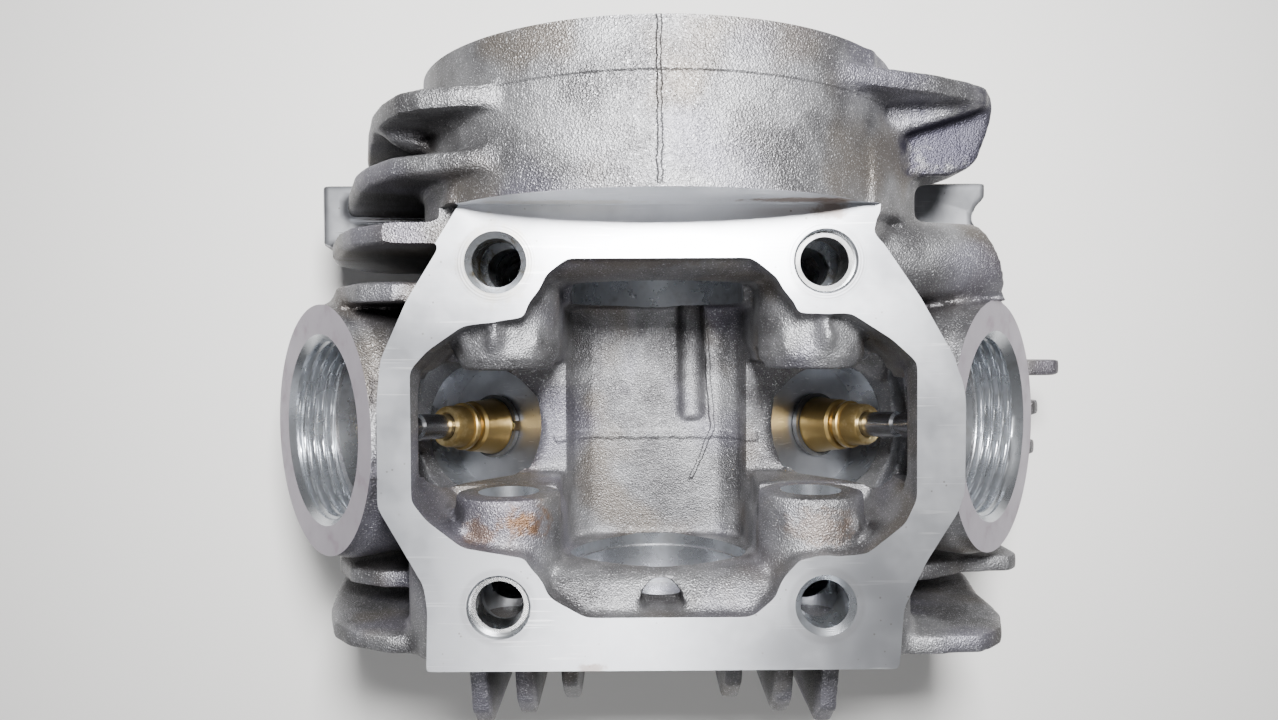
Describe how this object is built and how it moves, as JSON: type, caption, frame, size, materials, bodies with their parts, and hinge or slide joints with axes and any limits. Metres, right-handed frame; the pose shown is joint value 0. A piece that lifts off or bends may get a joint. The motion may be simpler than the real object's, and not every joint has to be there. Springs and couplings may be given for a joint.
{
  "type": "cylinder head",
  "caption": "Cast aluminium cylinder head for a small horizontal engine, with an open camshaft bay, sprocket drum, threaded adjuster ports and sliding poppet valves.",
  "frame": {"origin": "centre of the stud pattern, in the plane of the barrel joint", "axes": "+Z along the cylinder towards the cover joint, +Y along the camshaft towards the sprocket drum, +X towards the exhaust side"},
  "size_m": [0.1844, 0.131, 0.1046],
  "materials": {
    "cast_aluminium": "sand cast and blasted, with milled and bored faces",
    "intake_valve_steel": "ground stem",
    "exhaust_valve_steel": "ground stem",
    "guide_bronze": "turned",
    "spring_steel": "blackened",
    "black_rubber": "matt",
    "seat_iron": "ground",
    "sleeve_steel": "turned"
  },
  "bodies": {
    "head": {"head_casting": "cast_aluminium", "intake_valve_guide": "guide_bronze", "exhaust_valve_guide": "guide_bronze", "intake_guide_clip": "spring_steel", "exhaust_guide_clip": "spring_steel", "intake_guide_o_ring": "black_rubber", "exhaust_guide_o_ring": "black_rubber", "intake_seat_ring": "seat_iron", "exhaust_seat_ring": "seat_iron", "cover_sleeves": "sleeve_steel"},
    "intake_valve_body": {"intake_valve": "intake_valve_steel"},
    "exhaust_valve_body": {"exhaust_valve": "exhaust_valve_steel"}
  },
  "joints": [
    {"name": "intake_valve_lift", "type": "slide", "parent": "head", "child": "intake_valve_body", "axis": [0.5592, -0.0795, -0.8252], "range_m": [0, 0.0075]},
    {"name": "exhaust_valve_lift", "type": "slide", "parent": "head", "child": "exhaust_valve_body", "axis": [-0.5592, -0.0795, -0.8252], "range_m": [0, 0.007]}
  ]
}
